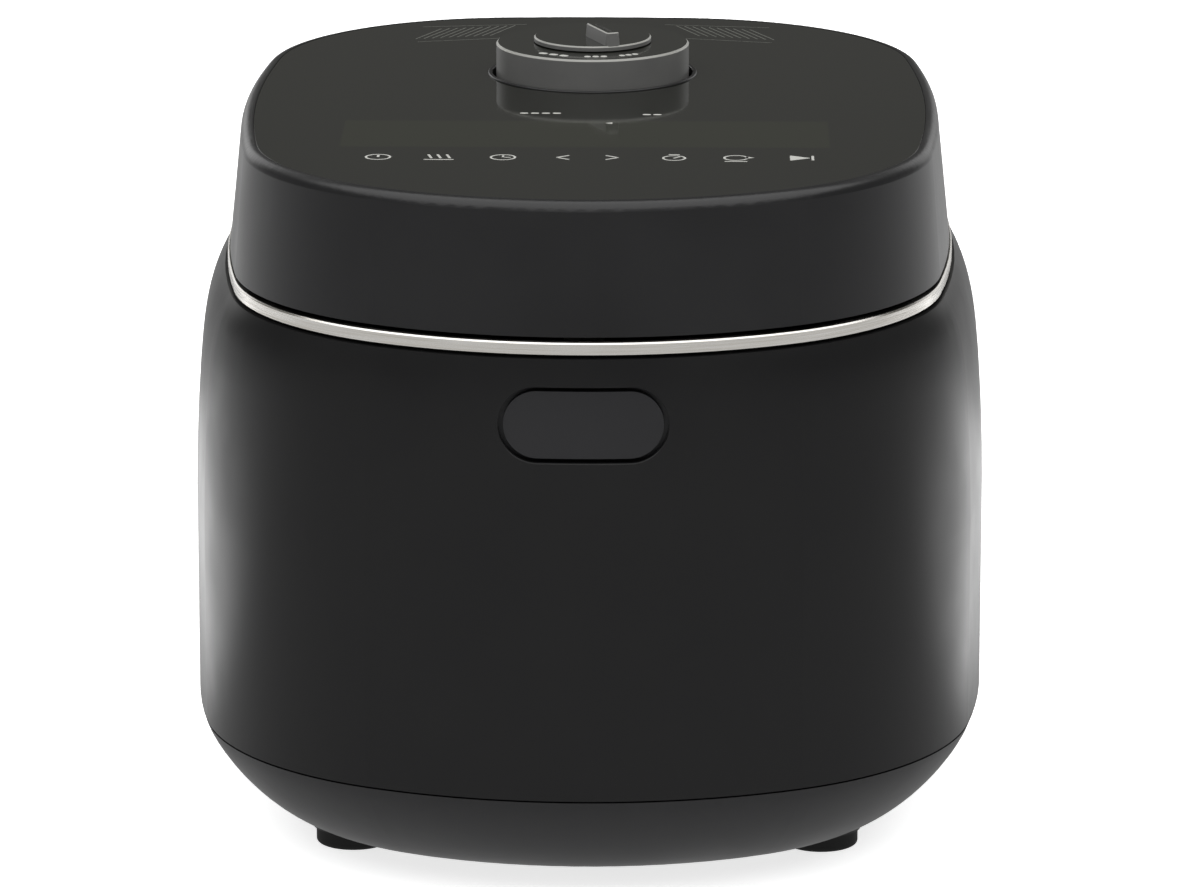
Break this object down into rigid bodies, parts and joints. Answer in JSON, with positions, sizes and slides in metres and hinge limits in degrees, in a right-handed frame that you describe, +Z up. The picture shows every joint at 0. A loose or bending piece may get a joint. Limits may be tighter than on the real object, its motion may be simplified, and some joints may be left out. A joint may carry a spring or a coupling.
{
  "type": "electric pressure cooker",
  "caption": "Flip-lid electric pressure cooker: dark plastic body, steel trim ring, lid with touch panel and round steam cap, release button, inner pot, rear condensate cup.",
  "frame": {"origin": "centre of the footprint on the resting surface, lid closed", "axes": "+Z up, -Y to the front where the lid release button is, +X to the right seen from behind"},
  "size_m": [0.2846, 0.352, 0.2683],
  "materials": {
    "body_plastic": "satin",
    "base_plastic": "satin",
    "frame_plastic": "matt",
    "panel_gloss": "gloss",
    "trim_steel": "brushed",
    "foot_rubber": "matt",
    "silicone": "matt",
    "sheet_steel": "satin",
    "bright_steel": "polished",
    "spring_steel": "satin",
    "zinc": "plated",
    "cast_aluminium": "cast",
    "pot_coating": "non-stick coating",
    "circuit_board": "lacquered",
    "inlet_plastic": "satin",
    "cup_plastic": "translucent"
  },
  "bodies": {
    "housing": {"outer_body": "body_plastic", "base_cover": "base_plastic", "foot_1": "foot_rubber", "foot_2": "foot_rubber", "foot_3": "foot_rubber", "foot_4": "foot_rubber", "base_screws": "zinc", "trim_ring": "trim_steel", "upper_frame": "frame_plastic", "heat_shield": "sheet_steel", "heating_plate": "cast_aluminium", "sensor_holder": "frame_plastic", "sensor_spring": "spring_steel", "inner_pot": "pot_coating", "thermal_fuse": "bright_steel", "board_bracket": "sheet_steel", "power_board": "circuit_board", "power_inlet": "inlet_plastic", "dew_housing": "frame_plastic", "button_guide": "frame_plastic", "button_spring_1": "spring_steel", "button_spring_2": "spring_steel", "latch_bracket": "sheet_steel", "latch_pin": "bright_steel", "latch_spring": "spring_steel", "hinge_bracket": "sheet_steel", "hinge_pin": "bright_steel", "hinge_spring_1": "spring_steel", "hinge_spring_2": "spring_steel", "hinge_cover": "body_plastic"},
    "lid": {"lid_cover": "body_plastic", "control_panel": "panel_gloss", "display_module": "circuit_board", "control_pcb": "circuit_board", "lid_liner": "frame_plastic", "pressure_plate": "sheet_steel", "inner_lid": "sheet_steel", "sealing_gasket": "silicone", "steam_pipe": "bright_steel", "pipe_nut": "bright_steel", "filter_cap": "sheet_steel", "float_housing": "bright_steel", "hinge_arms": "sheet_steel", "lid_catch": "sheet_steel", "lid_screws": "zinc"},
    "steam_cap": {"steam_cap": "body_plastic", "cap_gasket": "silicone"},
    "knob": {"vent_knob": "body_plastic"},
    "valve_weight": {"valve_weight": "bright_steel"},
    "float": {"float_pin": "bright_steel", "float_seal": "silicone"},
    "button": {"open_button": "base_plastic"},
    "latch": {"latch_lever": "sheet_steel"},
    "sensor": {"temperature_sensor": "bright_steel"},
    "dew_cup": {"dew_cup": "cup_plastic"}
  },
  "joints": [
    {"name": "lid_hinge", "type": "hinge", "parent": "housing", "child": "lid", "pos_m": [0, 0.157, 0.214], "axis": [-1, 0, 0], "range_deg": [0, 90]},
    {"name": "button_press", "type": "slide", "parent": "housing", "child": "button", "axis": [0, 1, 0], "range_m": [0, 0.0035], "stiffness_N_per_m": 400, "springref_m": -0.004},
    {"name": "latch_pivot", "type": "hinge", "parent": "housing", "child": "latch", "pos_m": [0, -0.156, 0.183], "axis": [1, 0, 0], "range_deg": [0, 15.1]},
    {"name": "cap_lift", "type": "slide", "parent": "lid", "child": "steam_cap", "axis": [0, 0, 1], "range_m": [0, 0.03]},
    {"name": "knob_turn", "type": "hinge", "parent": "steam_cap", "child": "knob", "pos_m": [0, 0.057, 0.262], "axis": [0, 0, 1], "range_deg": [-60, 0]},
    {"name": "weight_lift", "type": "slide", "parent": "steam_cap", "child": "valve_weight", "axis": [0, 0, 1], "range_m": [0, 0.0026]},
    {"name": "float_rise", "type": "slide", "parent": "lid", "child": "float", "axis": [0, 0, 1], "range_m": [0, 0.004]},
    {"name": "sensor_dip", "type": "slide", "parent": "housing", "child": "sensor", "axis": [0, 0, 1], "range_m": [-0.002, 0], "stiffness_N_per_m": 500, "springref_m": 0.004},
    {"name": "cup_slide", "type": "slide", "parent": "housing", "child": "dew_cup", "axis": [0, 1, 0], "range_m": [0, 0.045]}
  ],
  "couplings": [
    {"joint": "latch_pivot", "follows": "button_press", "rad_per_m": 74.8},
    {"joint": "weight_lift", "follows": "knob_turn", "m_per_rad": -0.002387}
  ]
}
